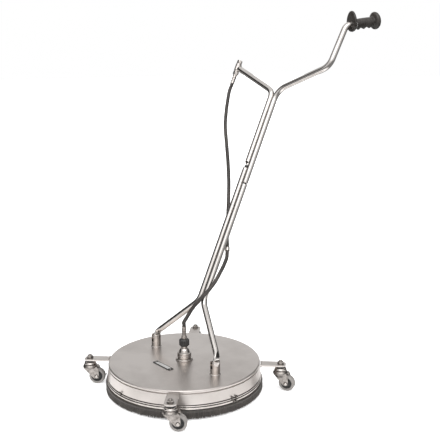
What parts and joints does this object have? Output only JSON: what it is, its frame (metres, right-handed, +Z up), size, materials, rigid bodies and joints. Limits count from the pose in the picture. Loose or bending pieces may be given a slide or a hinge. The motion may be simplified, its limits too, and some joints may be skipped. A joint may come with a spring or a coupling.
{
  "type": "rotary surface cleaner",
  "caption": "Pressure-washer rotary surface cleaner: spun steel deck with a brush skirt on swivel castors, spray rotor below, folding tubular handle with grip and feed hose.",
  "frame": {"origin": "on the floor, under the middle of the machine's bounding box at rest", "axes": "+Z up; +Y towards the operator, the way the handle leans; +X along the handle's hinge, towards the grip side"},
  "size_m": [0.557, 0.923, 1.2697],
  "materials": {
    "stainless_deck": "brushed stainless sheet",
    "stainless_bright": "turned stainless",
    "tube_stainless": "polished stainless tube",
    "zinc_plated": "zinc plated",
    "grey_tyre": "grey non-marking rubber",
    "black_plastic": "moulded, satin",
    "black_bristle": "nylon bristle",
    "hose_rubber": "hose cover",
    "brass": "turned brass"
  },
  "bodies": {
    "deck": {"deck_housing": "stainless_deck", "brush_carrier": "stainless_deck", "clamp_band": "stainless_bright", "band_clamp": "stainless_bright", "brush_ring": "black_bristle", "name_plate": "stainless_deck", "castor_arm_1": "stainless_deck", "castor_arm_2": "stainless_deck", "castor_arm_3": "stainless_deck", "castor_arm_4": "stainless_deck", "castor_bolt_1": "zinc_plated", "castor_bolt_2": "zinc_plated", "castor_bolt_3": "zinc_plated", "castor_bolt_4": "zinc_plated", "castor_race_1": "zinc_plated", "castor_race_2": "zinc_plated", "castor_race_3": "zinc_plated", "castor_race_4": "zinc_plated", "swivel_flange": "stainless_bright", "swivel_body": "stainless_bright", "swivel_bearing": "stainless_bright", "coupling_nut": "black_plastic", "hose_ferrule_lower": "stainless_bright", "handle_socket_left": "stainless_deck", "handle_socket_right": "stainless_deck", "pivot_bolt_left": "zinc_plated", "pivot_bolt_right": "zinc_plated", "hose_lower": "hose_rubber"},
    "rotor": {"rotor_hub": "stainless_bright", "spray_arm_left": "stainless_bright", "spray_arm_right": "stainless_bright", "nozzle_left": "brass", "nozzle_right": "brass"},
    "lower_handle": {"leg_left": "tube_stainless", "leg_right": "tube_stainless", "hose_clip": "stainless_bright", "fold_bolt": "zinc_plated"},
    "upper_handle": {"upper_tube_left": "tube_stainless", "upper_tube_right": "tube_stainless", "grip": "black_plastic", "grip_plug": "stainless_bright", "inlet_fitting": "stainless_bright", "hose_ferrule_upper": "stainless_bright", "hose_upper": "hose_rubber"},
    "castor_1": {"castor_fork_1": "zinc_plated", "castor_axle_1": "zinc_plated"},
    "wheel_1": {"castor_tyre_1": "grey_tyre", "castor_hub_1": "black_plastic"},
    "castor_2": {"castor_fork_2": "zinc_plated", "castor_axle_2": "zinc_plated"},
    "wheel_2": {"castor_tyre_2": "grey_tyre", "castor_hub_2": "black_plastic"},
    "castor_3": {"castor_fork_3": "zinc_plated", "castor_axle_3": "zinc_plated"},
    "wheel_3": {"castor_tyre_3": "grey_tyre", "castor_hub_3": "black_plastic"},
    "castor_4": {"castor_fork_4": "zinc_plated", "castor_axle_4": "zinc_plated"},
    "wheel_4": {"castor_tyre_4": "grey_tyre", "castor_hub_4": "black_plastic"}
  },
  "joints": [
    {"name": "rotor_spin", "type": "hinge", "parent": "deck", "child": "rotor", "pos_m": [-0.0077, -0.1905, 0.056], "axis": [0, 0, 1], "continuous": true},
    {"name": "castor_swivel_1", "type": "hinge", "parent": "deck", "child": "castor_1", "pos_m": [0.22706, 0.04426, 0.063], "axis": [0, 0, 1], "continuous": true},
    {"name": "wheel_roll_1", "type": "hinge", "parent": "castor_1", "child": "wheel_1", "pos_m": [0.24863, 0.05478, 0.028], "axis": [-0.4384, 0.8988, 0], "continuous": true},
    {"name": "castor_swivel_2", "type": "hinge", "parent": "deck", "child": "castor_2", "pos_m": [-0.24246, 0.04426, 0.063], "axis": [0, 0, 1], "continuous": true},
    {"name": "wheel_roll_2", "type": "hinge", "parent": "castor_2", "child": "wheel_2", "pos_m": [-0.22407, 0.05969, 0.028], "axis": [-0.6428, 0.766, 0], "continuous": true},
    {"name": "castor_swivel_3", "type": "hinge", "parent": "deck", "child": "castor_3", "pos_m": [-0.24246, -0.42526, 0.063], "axis": [0, 0, 1], "continuous": true},
    {"name": "wheel_roll_3", "type": "hinge", "parent": "castor_3", "child": "wheel_3", "pos_m": [-0.22609, -0.40771, 0.028], "axis": [-0.7314, 0.682, 0], "continuous": true},
    {"name": "castor_swivel_4", "type": "hinge", "parent": "deck", "child": "castor_4", "pos_m": [0.22706, -0.42526, 0.063], "axis": [0, 0, 1], "continuous": true},
    {"name": "wheel_roll_4", "type": "hinge", "parent": "castor_4", "child": "wheel_4", "pos_m": [0.24373, -0.40799, 0.028], "axis": [-0.7193, 0.6947, 0], "continuous": true},
    {"name": "handle_tilt", "type": "hinge", "parent": "deck", "child": "lower_handle", "pos_m": [-0.0077, -0.1905, 0.133], "axis": [-1, 0, 0], "range_deg": [-20, 45], "deforming": ["hose_lower", "hose_upper"]},
    {"name": "handle_fold", "type": "hinge", "parent": "lower_handle", "child": "upper_handle", "pos_m": [-0.0077, 0.0895, 0.7135], "axis": [1, 0, 0], "range_deg": [0, 140], "deforming": ["hose_lower", "hose_upper"]}
  ]
}
